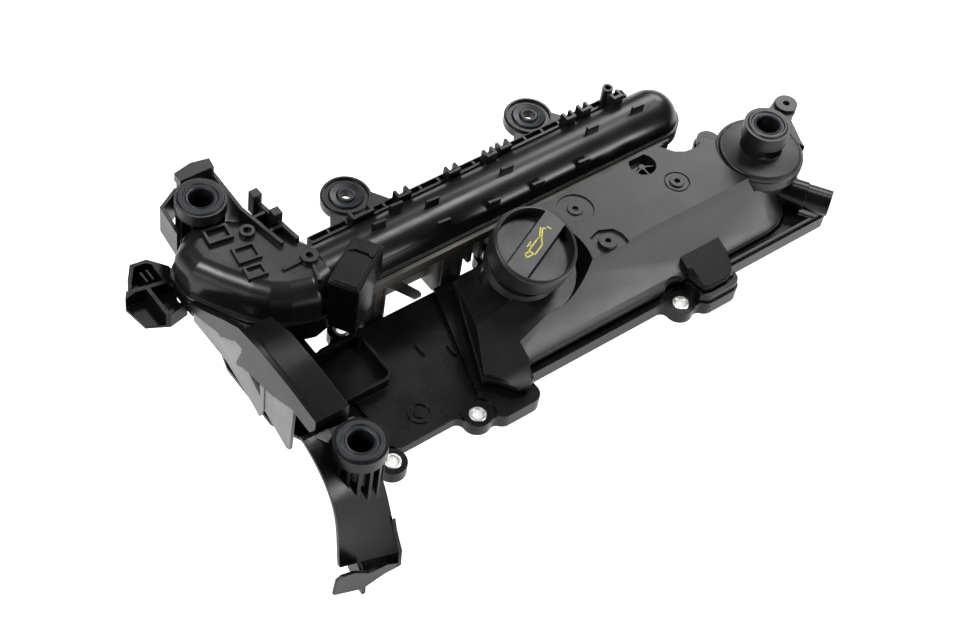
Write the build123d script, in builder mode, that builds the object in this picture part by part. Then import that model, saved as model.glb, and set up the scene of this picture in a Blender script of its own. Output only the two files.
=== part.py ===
from build123d import *
import os
from math import sin, cos, tan, radians

# ----------------------------------------------------------------------------
# Diesel engine valve cover with an integral intake plenum, in millimetres.
# X runs along the crankshaft, Y from the outer bolt row to the intake side,
# Z up.  Everything is drawn about the middle of the cylinder-head gasket face;
# the finished pieces are moved so that the origin lies on the front sealing land.
# ----------------------------------------------------------------------------

# flange and deck
FLANGE_L, FLANGE_R = -178.0, 181.0      # ends of the head flange
FLANGE_F, FLANGE_B = -44.5, 43.0        # front and back edges
LAND_Y = 43.25                          # front sealing land, before the mid line
SKIRT_H = 7.0                           # flange height at the low deck
RIM_H = 10.5                            # flange height under the raised cover
STEP_H = 16.5                           # flange height at the valve end
BOLT_FRONT = [(-184.6, -50.4), (-121.0, -50.0), (43.5, -49.5)]
BOLT_REAR = [(-154.0, 47.5), (-40.0, 47.5), (58.0, 47.5), (150.0, 47.5)]
LIM_R, LIM_RI, LIM_H = 5.65, 3.6, 9.5   # compression limiters

# raised oil-separator cover
LIP_Z = 15.5
TOP_Z = 56.0
SLOPE_FRONT = -39.5
TOP_FRONT, TOP_BACK = -17.5, 31.5
WALL = 2.6

# filler neck and cap, both on one tilted axis
TILT = 16.0
NECK_X, NECK_Y, NECK_Z = -50.0, 6.0, 47.5
NECK_R, NECK_RI = 20.5, 17.0
CAP_R, CAP_H = 27.0, 15.5
CAP_GAP = 15.0                          # platform to the cap's lower edge

# pressure-control valve
PCV_X, PCV_Y = 142.4, -1.6
POT_R = 27.0
PCV_TOP = 56.5

# styling-cover towers: centre and rim height
TOWER_A = (-200.3, 137.5, 71.5)
TOWER_B = (-218.0, -59.0, 65.5)
TOWER_C = (142.4, -1.6, 78.5)
TOWER_R, GROM_R, BALL_R = 16.2, 14.6, 7.4

# intake plenum
PL_F, PL_B = 48.0, 85.6                 # front and back of the shell
RUN_C = 68.5                            # middle of the runners
PL_Z = 43.0                             # weld plane
PL_X0, PL_X1 = -160.0, 105.0            # straight length
EYES = [(-111.7, 108.6), (31.4, 104.7)]
EYE_Z = 50.0
RUNNERS = [-131.0, -71.0, 12.0, 95.0]

os.makedirs("parts", exist_ok=True)

neck_plane = Plane(
    origin=(NECK_X, NECK_Y, NECK_Z),
    x_dir=(1, 0, 0),
    z_dir=(0, -sin(radians(TILT)), cos(radians(TILT))),
)

# ---------------------------------------------------------------- flange plan
with BuildSketch(Plane.XY) as flange_plan:
    with Locations(((FLANGE_L + FLANGE_R) / 2, (FLANGE_F + FLANGE_B) / 2)):
        RectangleRounded(FLANGE_R - FLANGE_L, FLANGE_B - FLANGE_F, 6)
    with Locations(*BOLT_FRONT, *BOLT_REAR):
        Circle(9.2)
    with Locations((-95.5, -47.0)):
        RectangleRounded(35, 30, 8)
    with Locations((70.0, -46.5)):
        RectangleRounded(34, 29, 8)
    offset(amount=5)
    offset(amount=-5)

with BuildSketch(Plane.XY) as flange_inner:
    with Locations(((FLANGE_L + FLANGE_R) / 2, (FLANGE_F + FLANGE_B) / 2)):
        RectangleRounded(FLANGE_R - FLANGE_L - 19, FLANGE_B - FLANGE_F - 19, 4)

# ------------------------------------------------------- raised breather cover
END_X, END_Y, END_R = 128.0, -11.0, 28.5
NECK_TOP = 16.6                         # above the platform, along the axis
DISH_R = 35.5                           # dished wall beside the filler

# outline of the lower lip; the front bolt stands in an arch
LIP = [
    (-108.5, -36.0), (-104.5, -37.6), (-100.0, -42.5), (-93.5, -52.5), (-86, -54.6), (-80, -51.8), (-77.5, -43.0),
    (-73, -40.4), (55.5, -40.4), (57.5, -54.2), (62, -55.6), (75, -55.6), (81, -54), (85, -50), (86.5, -42.5),
    (90, -39.6), (128.0, -39.5), (138, -37.7), (146, -33), (152, -26.5), (155.6, -18), (156.5, -10),
    (156.5, 14), (120, 22), (112, 36), (-77, 36),
]
with BuildSketch(Plane.XY) as lip_plan:
    with BuildLine():
        Polyline(*LIP, close=True)
    make_face()
    with Locations(BOLT_FRONT[2]):
        Circle(12.0, mode=Mode.SUBTRACT)
    fillet(lip_plan.vertices(), 1.0)

with BuildSketch(Plane.XY) as wall_plan:
    add(lip_plan.sketch)
    offset(amount=-1.1)

with BuildSketch(Plane.XY) as cavity_plan:
    add(lip_plan.sketch)
    offset(amount=-1.1 - WALL)


def facet_plane(i):
    n = Vector(-0.55 * 0.395, -0.55 * 0.919, 1).normalized()
    return Plane(origin=Vector(-90, -49, 19.0) - n * i, z_dir=n)


def back_plane(i):
    n = Vector(-0.25, 0.5, 1).normalized()
    return Plane(origin=Vector(-76, 38, 17.5) - n * i, z_dir=n)


def tilt_plane(i):
    return Plane(origin=neck_plane.origin - neck_plane.z_dir * i, x_dir=(1, 0, 0), z_dir=neck_plane.z_dir)


def roof(i):
    """Roof form between the lip and the top plate, drawn in by i."""
    with BuildPart() as left:
        with BuildSketch(Plane.XY.offset(LIP_Z - 1)):
            with Locations((-85, 0)):
                Rectangle(150, 130)
        extrude(amount=70)
        for p in (facet_plane(i), back_plane(i), tilt_plane(i)):
            with BuildSketch(p):
                Rectangle(500, 500)
            extrude(amount=100, mode=Mode.SUBTRACT)
    with BuildPart() as main:
        with BuildSketch(Plane.YZ.offset(NECK_X)):
            with BuildLine():
                Polyline(
                    (-70 + i, LIP_Z - 1), (-70 + i, 18.6 - i * 0.6), (SLOPE_FRONT + 0.7 * i, 18.6 - i * 0.6),
                    (-36.0 + 0.85 * i, 22.0 - 0.5 * i), (-20.5 + 0.85 * i, 50.0 - 0.5 * i),
                    (TOP_FRONT + 0.5 * i, TOP_Z - i), (60, TOP_Z - i), (60, LIP_Z - 1), close=True,
                )
            make_face()
        extrude(amount=END_X - NECK_X)
        with BuildSketch(tilt_plane(i)):
            with Locations((0, 0)):
                Circle(DISH_R + i)
        extrude(amount=30, taper=-22, mode=Mode.SUBTRACT)
    with BuildPart() as end:
        with BuildSketch(Plane.XZ.offset(-END_Y)):
            with BuildLine():
                r = END_X + END_R
                Polyline(
                    (END_X, LIP_Z - 1), (r - i, LIP_Z - 1), (r - 0.7 * i, 18.6 - i * 0.6), (r - 3.5 - 0.85 * i, 22.0 - 0.5 * i),
                    (r - 19.0 - 0.85 * i, 50.0 - 0.5 * i), (r - 22.0 - 0.5 * i, TOP_Z - i), (END_X, TOP_Z - i), close=True,
                )
            make_face()
        revolve(axis=Axis((END_X, END_Y, 0), (0, 0, 1)), revolution_arc=360)
        with BuildSketch(Plane.XY.offset(LIP_Z - 1)):
            with Locations((END_X + 6, 4)):
                Rectangle(12 + 2 * 22 - 2 * i, 30)
        extrude(amount=20)
    with BuildPart() as slope_cut:
        with BuildSketch(Plane.YZ.offset(-77.5)):
            with BuildLine():
                Polyline(
                    (-90, 18.6 - i * 0.6), (SLOPE_FRONT + 0.7 * i, 18.6 - i * 0.6), (-36.0 + 0.85 * i, 22.0 - 0.5 * i),
                    (-20.5 + 0.85 * i, 50.0 - 0.5 * i), (TOP_FRONT, 60), (-90, 60), close=True,
                )
            make_face()
        extrude(amount=69)
    with BuildPart() as bay:
        with BuildSketch(Plane.YZ.offset(53.5 + i)):
            with BuildLine():
                Polyline((-54.8 + i, LIP_Z - 1), (-54.8 + i, 20.5 - i), (-25, 33.0 - i), (-25, LIP_Z - 1), close=True)
            make_face()
        extrude(amount=32.6 - 2 * i)
    with BuildPart() as whole:
        add(left.part)
        add(slope_cut.part, mode=Mode.SUBTRACT)
        add(main.part)
        add(end.part)
        add(bay.part)
    return whole.part


# ------------------------------------------------------------------ cover base
with BuildPart() as apron:
    # curved guard that drops in front of the belt end
    with BuildSketch(Plane.YZ.offset(-243.0)):
        with BuildLine():
            Spline((-39, 61), (-52, 55.5), (-63, 47.5), (-72, 36), (-78, 19), (-81, -1), (-83, -14))
            Line((-83, -14), (-80.4, -14))
            Spline((-80.4, -14), (-78.4, -1), (-75.4, 18.5), (-69.8, 34.6), (-61.4, 45.4), (-51, 53), (-38.5, 58.4))
            Line((-38.5, 58.4), (-39, 61))
        make_face()
    with BuildSketch(Plane.YZ.offset(-207.0)):
        with BuildLine():
            Spline((-37, 56), (-48, 51.5), (-59, 43.5), (-69, 32), (-78, 16), (-86, -2), (-93, -14))
            Line((-93, -14), (-90.4, -14))
            Spline((-90.4, -14), (-83.6, -3), (-75.5, 14.6), (-66.9, 30.4), (-57.4, 41.4), (-47, 49), (-36.5, 53.4))
            Line((-36.5, 53.4), (-37, 56))
        make_face()
    loft(ruled=True)

with BuildPart() as cover_base:
    with BuildSketch(Plane.XY):
        add(flange_plan.sketch)
    extrude(amount=SKIRT_H)
    # flange under the raised cover, its left edge runs across the deck
    with BuildSketch(Plane.XY.offset(SKIRT_H)):
        add(flange_plan.sketch)
        with BuildLine():
            Polyline((-260, -90), (-121.5, -90), (-118.5, -46), (-112.5, -38.5), (-84.5, 50), (-84.5, 90), (-260, 90), close=True)
        make_face(mode=Mode.SUBTRACT)
    extrude(amount=RIM_H - SKIRT_H)
    # higher shoulder at the valve end
    with BuildSketch(Plane.XY.offset(RIM_H)):
        add(flange_plan.sketch)
        offset(amount=-1.2)
        with Locations((-149, 0)):
            Rectangle(400, 220, mode=Mode.SUBTRACT)
    extrude(amount=STEP_H - RIM_H)
    # open gap round the lip of the raised cover
    with BuildSketch(Plane.XY.offset(RIM_H)):
        add(lip_plan.sketch)
        offset(amount=1.4)
    extrude(amount=20, mode=Mode.SUBTRACT)
    # upstand that carries the raised cover
    with BuildSketch(Plane.XY.offset(SKIRT_H)):
        add(lip_plan.sketch)
        offset(amount=-2.2)
    extrude(amount=LIP_Z - SKIRT_H)
    # the steps stand back round the front bolts
    with BuildSketch(Plane.XY.offset(9.0)):
        with Locations(BOLT_FRONT[1], BOLT_FRONT[2]):
            Circle(11.6)
    extrude(amount=20, mode=Mode.SUBTRACT)
    with BuildSketch(Plane.XY):
        with Locations(*BOLT_FRONT, *BOLT_REAR):
            Circle(9.2)
    extrude(amount=9.0)
    # hollow underside: shallow beneath the deck, deeper beneath the cover
    with BuildSketch(Plane.XY):
        add(flange_inner.sketch)
    extrude(amount=4.2, mode=Mode.SUBTRACT)
    with BuildSketch(Plane.XY):
        add(flange_inner.sketch)
        with Locations((-178, 0)):
            Rectangle(200, 200, mode=Mode.SUBTRACT)
    extrude(amount=7.7, mode=Mode.SUBTRACT)
    # separator floor drops inside the upstand
    with BuildSketch(Plane.XY.offset(10.4)):
        add(cavity_plan.sketch)
        offset(amount=-1.5)
        with Locations((-86, -45), (70, -46)):
            Rectangle(60, 14, mode=Mode.SUBTRACT)
    extrude(amount=10, mode=Mode.SUBTRACT)
    # cam tunnel that rises into the raised cover
    with BuildSketch(Plane.XY.offset(7.7)):
        with Locations((28, 1)):
            RectangleRounded(196, 46, 8)
    extrude(amount=17.3, taper=5)
    with BuildSketch(Plane.XY.offset(4.0)):
        with Locations((28, 1)):
            RectangleRounded(190, 40, 6)
    extrude(amount=18.4, taper=5, mode=Mode.SUBTRACT)
    # oil-fill opening under the neck, breather and oil-return holes
    with BuildSketch(Plane.XY.offset(18)):
        with Locations((-46, 4)):
            Circle(14)
        with Locations((6, 4), (18, 4), (30, 4)):
            Circle(3.5)
        with Locations((98, 2)):
            Circle(2.6)
    extrude(amount=12, mode=Mode.SUBTRACT)
    # gasket groove
    with BuildSketch(Plane.XY):
        with Locations(((FLANGE_L + FLANGE_R) / 2, (FLANGE_F + FLANGE_B) / 2)):
            RectangleRounded(FLANGE_R - FLANGE_L - 5.0, FLANGE_B - FLANGE_F - 5.0, 5)
            RectangleRounded(FLANGE_R - FLANGE_L - 13.0, FLANGE_B - FLANGE_F - 13.0, 4, mode=Mode.SUBTRACT)
    extrude(amount=2.4, mode=Mode.SUBTRACT)
    # strengthening ribs under the deck
    for x in (-165, -145, -125):
        with BuildSketch(Plane.XY.offset(1.2)):
            with Locations((x, -0.75)):
                Rectangle(1.8, FLANGE_B - FLANGE_F - 19)
        extrude(amount=3.2)
    # dimple, small ribs and the fence on the low deck
    with BuildSketch(Plane.XY.offset(SKIRT_H)):
        with Locations((-149.5, -29.5)):
            Circle(7.6)
            Circle(6.4, mode=Mode.SUBTRACT)
            Circle(3.6)
    extrude(amount=0.8)
    with BuildSketch(Plane.XY.offset(SKIRT_H)):
        with Locations((-121.0, 9.5), (-104.5, -1.0)):
            Rectangle(1.8, 9)
    extrude(amount=1.6)
    with BuildSketch(Plane.XY.offset(4.0)):
        with Locations((-172, 17)):
            RectangleRounded(46, 40, 7)
    extrude(amount=11)
    with BuildSketch(Plane.XY.offset(SKIRT_H)):
        with Locations((-172, 17)):
            RectangleRounded(41.6, 35.6, 5)
    extrude(amount=20, mode=Mode.SUBTRACT)
    # rim line round the deck
    with BuildSketch(Plane.XY.offset(SKIRT_H)):
        with Locations((-154, FLANGE_F + 1.2)):
            Rectangle(50, 1.4)
    extrude(amount=0.7)
    # side web, beam and guard at the belt end
    with BuildSketch(Plane.XY.offset(2.0)):
        with BuildLine():
            Polyline((-186, -43), (-212, -38), (-214, -16), (-228, 14), (-228, 62), (-224, 76), (-212, 84), (-176, 84), (-176, -43), close=True)
        make_face()
        with Locations((-196, 92)):
            Circle(24.0, mode=Mode.SUBTRACT)
    extrude(amount=3.0)
    # outer side wall with a scalloped lower edge
    with BuildSketch(Plane.YZ.offset(-234.4)):
        with BuildLine():
            Polyline(
                (95, 32.4), (87, 32.8), (63.4, 42.5), (60.6, 40.7), (56.5, 45.2), (51, 49.0), (45, 54.6), (40.8, 57.4), (37.6, 56.0),
                (38.4, 50.0), (41.4, 42.0), (43.0, 36.0), (42.6, 34.0), (36, 38.4), (28.1, 41.7), (17.4, 42.8), (4.4, 46.7), (-3.2, 50.6),
                (-14, 56.0), (-38, 55.0), (-38, 70.6), (-10, 73.1), (20, 73.1), (42, 70.0), (58, 60.5), (72, 51.0), (84, 43.4), (95, 37.0), close=True,
            )
        make_face()
    extrude(amount=3.4)
    # sloping floor that ties the side wall to the middle of the beam
    with BuildSketch(Plane.XZ.offset(-62.0)):
        with BuildLine():
            Polyline((-231.2, 50.0), (-231.2, 47.4), (-213.0, 30.0), (-206.6, 5.0), (-204.0, 5.0), (-210.6, 31.6), close=True)
        make_face()
    extrude(amount=24.0)
    with BuildSketch(Plane.YZ.offset(-231.0)):
        with BuildLine():
            Polyline((-38, 68.5), (-38, 71.0), (-10, 73.5), (20, 73.5), (42, 66.0), (48, 52.0), (48, 49.5), (40, 63.0), (20, 70.5), (-10, 71.0), close=True)
        make_face()
    extrude(amount=19.0)
    with BuildSketch(Plane.YZ.offset(-231.0)):
        with BuildLine():
            Polyline((-38, 54), (-38, 71), (-10, 73.5), (20, 73.5), (34, 69), (34, 60), (20, 57), (-10, 56), close=True)
        make_face()
    extrude(amount=2.4)
    with BuildSketch(Plane.YZ.offset(-214.4)):
        with BuildLine():
            Polyline((-38, 4), (-38, 71), (-10, 73.5), (20, 73.5), (40, 66), (40, 4), close=True)
        make_face()
    extrude(amount=2.4)
    with BuildSketch(Plane.XZ.offset(36.0)):
        with BuildLine():
            Polyline((-231, 71), (-212, 71), (-212, 4), (-216, 4), (-228, 40), (-240, 56), (-243, 58.4), (-243, 61), (-231, 60), close=True)
        make_face()
    extrude(amount=2.4)
    add(apron.part)
    # top facet of the guard
    with BuildSketch(Plane(origin=(-229, -38.4, 59.6), z_dir=Vector(0.06, -0.2, 1))):
        with BuildLine():
            Polyline((-14, -1.5), (1, 8), (6, -2.5), (1, -3.5), close=True)
        make_face()
    extrude(amount=-2.2)
    # front tower with its ribbed column
    with BuildSketch(Plane.XY.offset(TOWER_B[2] - 9.0)):
        with Locations(TOWER_B[:2]):
            Circle(TOWER_R)
    extrude(amount=9.0)
    with BuildSketch(Plane.XY.offset(26.0)):
        with Locations(TOWER_B[:2]):
            Circle(10.5)
        with Locations(TOWER_B[:2]):
            with PolarLocations(12.4, 14, start_angle=6):
                Rectangle(5.6, 2.0)
    extrude(amount=TOWER_B[2] - 9.0 - 26.0)
    # tie from the column to the deck
    with BuildSketch(Plane.XY.offset(4.0)):
        with BuildLine():
            Polyline((-216, -62), (-220, -40), (-212, -37), (-186, -43), (-189, -47), (-204, -54), close=True)
        make_face()
    extrude(amount=3.0)
    with BuildSketch(Plane.XY.offset(4.0)):
        with BuildLine():
            Polyline((-217, -58), (-217, -37), (-214.6, -37), (-214.6, -58), close=True)
        make_face()
    extrude(amount=40.0)
    with BuildSketch(Plane.XY.offset(TOWER_B[2] - 7.0)):
        with Locations(TOWER_B[:2]):
            Circle(GROM_R)
    extrude(amount=10, mode=Mode.SUBTRACT)
    with BuildSketch(Plane.XY.offset(TOWER_B[2] - 24.0)):
        with Locations(TOWER_B[:2]):
            Circle(8.4)
    extrude(amount=30, mode=Mode.SUBTRACT)
    # harness hook at the foot of the guard
    with BuildSketch(Plane.XY.offset(-29.0)):
        with BuildLine():
            Polyline((-233, -93), (-205.5, -93), (-205.5, -80), (-233, -78), close=True)
        make_face()
    extrude(amount=2.4)
    with BuildSketch(Plane.YZ.offset(-208.0)):
        with BuildLine():
            Polyline((-83, 8), (-86, -1), (-93, -14), (-94, -29), (-80, -29), (-80, 0), close=True)
        make_face()
    extrude(amount=2.4)
    with BuildSketch(Plane.YZ.offset(-233.0)):
        with BuildLine():
            Polyline((-79, -6), (-83.5, -6), (-86, -14), (-93, -22), (-94, -38), (-91, -38), (-78, -29), close=True)
        make_face()
    extrude(amount=2.4)
    with BuildSketch(Plane.XZ.offset(91.6)):
        with BuildLine():
            Polyline((-254, -20), (-252.6, -6), (-249, -4.5), (-240, -8), (-233.4, -14), (-229, -18), (-216, -20), (-207, -26), (-207, -30), (-217, -29), (-233, -32), close=True)
        make_face()
    extrude(amount=2.0)
    # channel that leaves room for the hose on the outlet spigot
    with BuildSketch(Plane(origin=Vector(PCV_X, PCV_Y, 26.2) + Vector(32.0, -45.0, 0).normalized() * 37.0, z_dir=Vector(32.0, -45.0, 0))):
        Circle(13.4)
    extrude(amount=40, mode=Mode.SUBTRACT)
    # bolt holes for the limiters
    with BuildSketch(Plane.XY):
        with Locations(*BOLT_FRONT, *BOLT_REAR):
            Circle(LIM_R)
    extrude(amount=12, mode=Mode.SUBTRACT)
    # tabs that tie the runners to the head flange
    with BuildSketch(Plane.XY):
        for x in RUNNERS:
            with Locations((x, 43.5)):
                Rectangle(12, 5.0)
    extrude(amount=5.5)
cover_base.part.label = "cover_base"

# ------------------------------------------------------- shell of the raised cover
roof_outer = roof(0.0)
roof_inner = roof(WALL)

with BuildPart() as breather_form:
    with BuildSketch(Plane.XY.offset(LIP_Z)):
        add(wall_plan.sketch)
    extrude(amount=45)
    add(roof_outer, mode=Mode.INTERSECT)
    # lip
    with BuildSketch(Plane.XY.offset(LIP_Z)):
        add(lip_plan.sketch)
    extrude(amount=3.2)
    # pot of the pressure valve, narrower towards its foot
    with BuildSketch(Plane.XZ.offset(-PCV_Y)):
        with BuildLine():
            Polyline(
                (PCV_X, LIP_Z), (PCV_X + 17.0, LIP_Z), (PCV_X + 24.6, 36.0), (PCV_X + 27.4, 44.0),
                (PCV_X + 27.4, 47.0), (PCV_X, 47.0), close=True,
            )
        make_face()
    revolve(axis=Axis((PCV_X, PCV_Y, 0), (0, 0, 1)), revolution_arc=360)
    # roof stops level with the pot's rim
    with BuildSketch(Plane.XY.offset(45.8)):
        with Locations((PCV_X, PCV_Y)):
            Circle(29.8)
            Circle(27.4, mode=Mode.SUBTRACT)
    extrude(amount=20, mode=Mode.SUBTRACT)
    with BuildSketch(Plane.XY.offset(47.0)):
        with Locations((PCV_X, PCV_Y)):
            Circle(28.0)
    extrude(amount=20, mode=Mode.SUBTRACT)
    # filler neck with a flared foot
    with BuildSketch(tilt_plane(26)):
        Circle(NECK_R)
    extrude(amount=26 + NECK_TOP)
    with BuildSketch(tilt_plane(1.0)):
        Circle(NECK_R + 4.6)
    extrude(amount=3.4, taper=40)
    # recess for the front bolt
    with BuildSketch(Plane.XY):
        with Locations(BOLT_FRONT[2]):
            Circle(12.0)
    extrude(amount=60, mode=Mode.SUBTRACT)
    # cavity
    with BuildPart(mode=Mode.PRIVATE) as hollow:
        with BuildSketch(Plane.XY.offset(LIP_Z - 1)):
            add(cavity_plan.sketch)
        extrude(amount=60)
        add(roof_inner, mode=Mode.INTERSECT)
    add(hollow.part, mode=Mode.SUBTRACT)
    with BuildSketch(Plane.XZ.offset(-PCV_Y)):
        with BuildLine():
            Polyline(
                (PCV_X, LIP_Z - 1), (PCV_X + 14.2, LIP_Z - 1), (PCV_X + 22.0, 36.0), (PCV_X + 24.4, 43.5),
                (PCV_X + 24.4, 47.5), (PCV_X, 47.5), close=True,
            )
        make_face()
    revolve(axis=Axis((PCV_X, PCV_Y, 0), (0, 0, 1)), revolution_arc=360, mode=Mode.SUBTRACT)
    with BuildSketch(tilt_plane(30)):
        Circle(NECK_RI)
    extrude(amount=60, mode=Mode.SUBTRACT)
    # bayonet groove and its two entry slots
    with BuildSketch(tilt_plane(-7.4)):
        Circle(18.8)
    extrude(amount=4.0, mode=Mode.SUBTRACT)
    with BuildSketch(tilt_plane(-7.4)):
        Circle(18.8)
        with Locations((22, 0), (-22, 0)):
            Rectangle(30, 60, mode=Mode.SUBTRACT)
    extrude(amount=12.0, mode=Mode.SUBTRACT)
    # opening for the outlet spigot
    with BuildSketch(Plane(origin=(PCV_X, PCV_Y, 26.2), z_dir=Vector(32.0, -45.0, 0).normalized())):
        Circle(9.6)
    extrude(amount=60, mode=Mode.SUBTRACT)
    # scallop in the back edge beside the valve
    with BuildSketch(Plane.XY.offset(31.0)):
        with BuildLine():
            Polyline((83, 40), (86, 33), (91, 26), (97, 22.5), (104, 21.5), (114, 23), (125, 40), close=True)
        make_face()
    extrude(amount=60, mode=Mode.SUBTRACT)
    with BuildSketch(Plane.XY.offset(28.4)):
        with BuildLine():
            Polyline((81, 34.8), (84, 30), (89, 24), (95, 20.4), (104, 19.4), (116, 20.5), (114, 33.6), (112, 34.8), close=True)
        make_face()
    extrude(amount=2.6)
    # screw bosses, the corner recess and the open pocket on the top plate
    with BuildSketch(Plane.XY.offset(TOP_Z - 0.8)):
        with Locations((74.6, 4.5)):
            Circle(8.6)
            Circle(7.7, mode=Mode.SUBTRACT)
            with Locations((-71.4, 16.4)):
                Circle(12.0)
                Circle(5.2, mode=Mode.SUBTRACT)
    extrude(amount=4, mode=Mode.SUBTRACT)
    with BuildSketch(Plane.XY.offset(TOP_Z - 1.6)):
        with BuildLine():
            Polyline((-6, -13.5), (-4.5, -3.5), (4, -1.0), (13, -5.0), (15.5, -11.0), (15.0, -30.0), (-6, -30), close=True)
        make_face()
    extrude(amount=4, mode=Mode.SUBTRACT)
    with BuildSketch(Plane.XY.offset(TOP_Z - 2.2)):
        with Locations((3.5, -11.5)):
            Circle(6.0)
        with Locations((74.6, 4.5)):
            Circle(4.8)
    extrude(amount=3.2)
    with BuildSketch(Plane.XY.offset(TOP_Z - 1.5)):
        with Locations((3.5, -11.5), (74.6, 4.5), (3.2, 20.9)):
            Circle(1.9)
    extrude(amount=5, mode=Mode.SUBTRACT)
    with BuildSketch(Plane.XY.offset(43.0)):
        with Locations((65, 28)):
            Circle(11.0)
        with Locations((65, 44.9)):
            Rectangle(40, 20, mode=Mode.SUBTRACT)
    extrude(amount=TOP_Z - 43.0)
    with BuildSketch(Plane.XY.offset(45.4)):
        with Locations((65, 28)):
            Circle(9.0)
    extrude(amount=20, mode=Mode.SUBTRACT)
    with BuildSketch(Plane.XY.offset(45.0)):
        with Locations((65, 28)):
            Circle(2.4)
            with Locations((-4.6, -2.0)):
                Rectangle(9.4, 1.3, rotation=24)
            with Locations((0, -5.0)):
                Rectangle(1.3, 9.4)
            with Locations((4.6, -2.0)):
                Rectangle(9.4, 1.3, rotation=-24)
    extrude(amount=8.6)
    # the filler neck ends on the roof of the tunnel
    add(cover_base.part, mode=Mode.SUBTRACT)
with BuildPart() as breather_cover:
    add(max(breather_form.part.solids(), key=lambda one: one.volume))
breather_cover.part.label = "breather_cover"
# ------------------------------------------------------------------- gasket
with BuildPart() as cover_gasket:
    with BuildSketch(Plane.XY.offset(-0.9)):
        with Locations(((FLANGE_L + FLANGE_R) / 2, (FLANGE_F + FLANGE_B) / 2)):
            RectangleRounded(FLANGE_R - FLANGE_L - 6.0, FLANGE_B - FLANGE_F - 6.0, 4.5)
            RectangleRounded(FLANGE_R - FLANGE_L - 12.0, FLANGE_B - FLANGE_F - 12.0, 4, mode=Mode.SUBTRACT)
    extrude(amount=3.3)
    fillet(cover_gasket.faces().sort_by(Axis.Z)[0].edges(), 0.9)
cover_gasket.part.label = "cover_gasket"

# ------------------------------------------------------------ bolt limiters
with BuildPart() as bolt_limiters:
    with BuildSketch(Plane.XY):
        with Locations(*BOLT_FRONT, *BOLT_REAR):
            Circle(LIM_R)
            Circle(LIM_RI, mode=Mode.SUBTRACT)
    extrude(amount=LIM_H)
    chamfer(bolt_limiters.faces().group_by(Axis.Z)[-1].edges(), 0.35)
bolt_limiters.part.label = "bolt_limiters"

# ------------------------------------------------ oil separator baffle and drain
with BuildPart() as baffle_plate:
    with BuildSketch(Plane.XY.offset(25.0)):
        with Locations((55, 1)):
            RectangleRounded(118, 38, 4)
        with Locations((2, 1), (14, 1)):
            with GridLocations(0, 12, 1, 3):
                Circle(2.0, mode=Mode.SUBTRACT)
        with Locations((98, 2)):
            Circle(5.0, mode=Mode.SUBTRACT)
    extrude(amount=1.6)
    # three cross walls make the gas turn and drop its oil
    for x, y in ((30, 6), (55, -4), (80, 6)):
        with BuildSketch(Plane.XY.offset(26.6)):
            with Locations((x, y)):
                Rectangle(1.8, 22)
        extrude(amount=13)
baffle_plate.part.label = "baffle_plate"

with BuildPart() as drain_valve:
    # rubber umbrella valve under the oil-return hole
    with BuildSketch(Plane.XZ.offset(-2.0)):
        with BuildLine():
            Polyline((98, 17.6), (104.5, 18.8), (104.5, 19.8), (101, 20.3), (100.4, 20.6), (100.4, 25.0), (101.6, 25.0), (101.0, 27.6), (98, 28.2), close=True)
        make_face()
    revolve(axis=Axis((98, 2, 0), (0, 0, 1)), revolution_arc=360)
drain_valve.part.label = "drain_valve"

# ------------------------------------------------------------ oil filler cap
cap_base = Plane(origin=neck_plane.origin + neck_plane.z_dir * CAP_GAP, x_dir=(1, 0, 0), z_dir=neck_plane.z_dir)


def cap_level(h):
    return Plane(origin=neck_plane.origin + neck_plane.z_dir * h, x_dir=(1, 0, 0), z_dir=neck_plane.z_dir)


CAP_TOP = CAP_GAP + CAP_H
with BuildPart() as oil_filler_cap:
    with BuildSketch(cap_level(CAP_GAP)):
        Circle(CAP_R)
    extrude(amount=CAP_H)
    fillet(oil_filler_cap.edges().group_by(SortBy.LENGTH)[-1].sort_by(Axis((0, 0, 0), tuple(neck_plane.z_dir)))[-1], 2.6)
    # two half-moon recesses leave the grip bar
    with BuildSketch(cap_level(CAP_TOP - 9.0)):
        Circle(CAP_R - 3.4)
        with Locations(Rotation(0, 0, 23.8)):
            Rectangle(60, 16.5, mode=Mode.SUBTRACT)
    extrude(amount=12, mode=Mode.SUBTRACT, taper=-6)
    # hollow skirt
    with BuildSketch(cap_level(CAP_GAP)):
        Circle(CAP_R - 2.4)
    extrude(amount=CAP_H - 11.4 + 0.0, mode=Mode.SUBTRACT)
    # plug with two bayonet lugs
    with BuildSketch(cap_level(CAP_GAP - 8.0)):
        Circle(15.2)
        Circle(12.6, mode=Mode.SUBTRACT)
    extrude(amount=8.0 + 4.2)
    with BuildSketch(cap_level(CAP_GAP - 7.0)):
        Circle(18.2)
        Circle(15.0, mode=Mode.SUBTRACT)
        Rectangle(50, 11, mode=Mode.PRIVATE)
        with Locations((0, 16), (0, -16)):
            Rectangle(60, 21, mode=Mode.SUBTRACT)
    extrude(amount=3.0)
oil_filler_cap.part.label = "oil_filler_cap"

with BuildPart() as cap_seal:
    with BuildSketch(cap_level(NECK_TOP + 0.1)):
        Circle(20.2)
        Circle(17.4, mode=Mode.SUBTRACT)
    extrude(amount=CAP_GAP + CAP_H - 11.4 - NECK_TOP - 0.1)
cap_seal.part.label = "cap_seal"

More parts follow.
